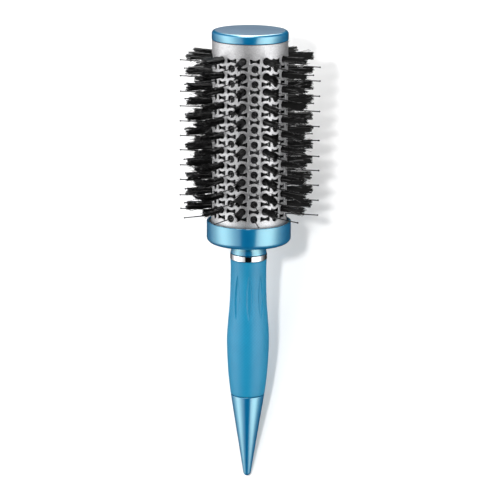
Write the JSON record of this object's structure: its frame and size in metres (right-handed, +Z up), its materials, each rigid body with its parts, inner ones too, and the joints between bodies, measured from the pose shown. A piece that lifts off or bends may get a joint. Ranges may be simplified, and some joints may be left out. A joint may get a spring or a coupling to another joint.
{
  "type": "round barrel brush",
  "caption": "Round hair styling brush: a vented metal barrel with boar tufts and ball-tipped pins on a soft-grip handle with a tapered metal tail.",
  "frame": {"origin": "on the table, under the middle of the brush as it lies at rest on its lowest pins and its tail tip", "axes": "+Z up from the table; +Y from the tail towards the cap, whose end is raised by the bristles, so that the brush's own axis rises 13.1 degrees along +Y; X across the brush"},
  "size_m": [0.082, 0.2632, 0.0955],
  "materials": {
    "blue_anodised": "satin",
    "barrel_aluminium": "satin",
    "chrome": "polished",
    "soft_grip": "matte",
    "boar_bristle": "satin",
    "nylon_pin": "satin",
    "core_plastic": "matte",
    "steel": "satin"
  },
  "bodies": {
    "root": {"tail_cone": "blue_anodised", "neck_ring": "blue_anodised", "collar": "blue_anodised", "end_cap": "blue_anodised", "handle_core": "core_plastic", "barrel_seat": "core_plastic", "bristle_cage": "core_plastic", "cap_plug": "core_plastic", "seat_screw": "steel", "seat_washer": "steel", "barrel": "barrel_aluminium", "chrome_ring": "chrome", "grip": "soft_grip", "boar_strip_01": "boar_bristle", "boar_strip_02": "boar_bristle", "boar_strip_03": "boar_bristle", "boar_strip_04": "boar_bristle", "boar_strip_05": "boar_bristle", "boar_strip_06": "boar_bristle", "boar_strip_07": "boar_bristle", "boar_strip_08": "boar_bristle", "boar_strip_09": "boar_bristle", "boar_strip_10": "boar_bristle", "pin_strip_01": "nylon_pin", "pin_strip_02": "nylon_pin", "pin_strip_03": "nylon_pin", "pin_strip_04": "nylon_pin", "pin_strip_05": "nylon_pin", "pin_strip_06": "nylon_pin", "pin_strip_07": "nylon_pin", "pin_strip_08": "nylon_pin", "pin_strip_09": "nylon_pin", "pin_strip_10": "nylon_pin"}
  },
  "joints": []
}
